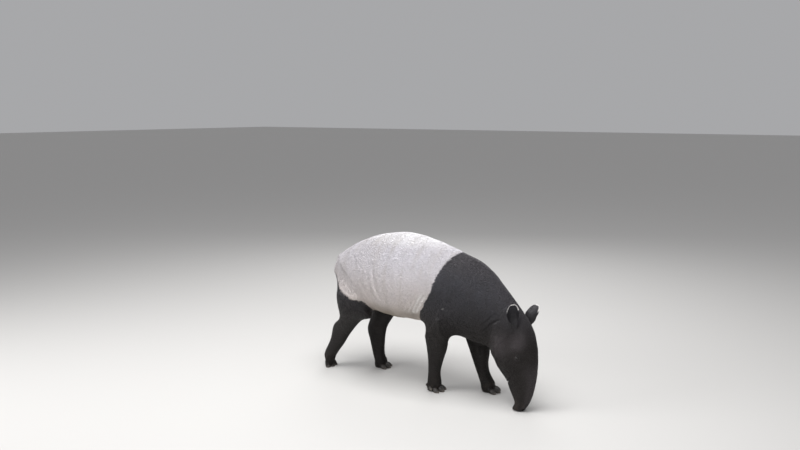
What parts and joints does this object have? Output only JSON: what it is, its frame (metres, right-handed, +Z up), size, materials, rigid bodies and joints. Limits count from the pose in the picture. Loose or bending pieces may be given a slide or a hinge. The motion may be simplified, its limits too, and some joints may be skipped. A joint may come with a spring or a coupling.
{
  "type": "malayan tapir",
  "caption": "Life-size still model of a Malayan tapir walking slowly, head down with the tip of its short trunk on the ground; black coat with a pale grey saddle, four and three toed feet.",
  "frame": {"origin": "on the floor under the middle of the animal's box", "axes": "+X the way the animal faces, +Y its left side, +Z up"},
  "size_m": [1.681, 0.5862, 1.043],
  "materials": {
    "black_coat": "short flat near-black fur over skin, dull with a cool sheen",
    "pale_coat": "short flat pale grey fur over skin, dull",
    "hoof": "dark grey horn, worn, half dull",
    "eye": "very dark brown, wet"
  },
  "bodies": {
    "root": {"barrel": "pale_coat", "ear_left": "black_coat", "ear_right": "black_coat", "eye_left": "eye", "eye_right": "eye", "foot_fore_left": "black_coat", "foot_fore_right": "black_coat", "foot_hind_left": "black_coat", "foot_hind_right": "black_coat", "forearm_fore_left": "black_coat", "forearm_fore_right": "black_coat", "forequarters": "black_coat", "head": "black_coat", "hock_hind_left": "black_coat", "hock_hind_right": "black_coat", "hoof_fore_left_inner": "hoof", "hoof_fore_left_middle": "hoof", "hoof_fore_left_outer": "hoof", "hoof_fore_left_side": "hoof", "hoof_fore_right_inner": "hoof", "hoof_fore_right_middle": "hoof", "hoof_fore_right_outer": "hoof", "hoof_fore_right_side": "hoof", "hoof_hind_left_inner": "hoof", "hoof_hind_left_middle": "hoof", "hoof_hind_left_outer": "hoof", "hoof_hind_right_inner": "hoof", "hoof_hind_right_middle": "hoof", "hoof_hind_right_outer": "hoof", "neck": "black_coat", "rump": "pale_coat", "shank_hind_left": "black_coat", "shank_hind_right": "black_coat", "snout": "black_coat", "tail": "pale_coat", "thigh_hind_left": "black_coat", "thigh_hind_right": "black_coat", "wrist_fore_left": "black_coat", "wrist_fore_right": "black_coat"}
  },
  "joints": []
}
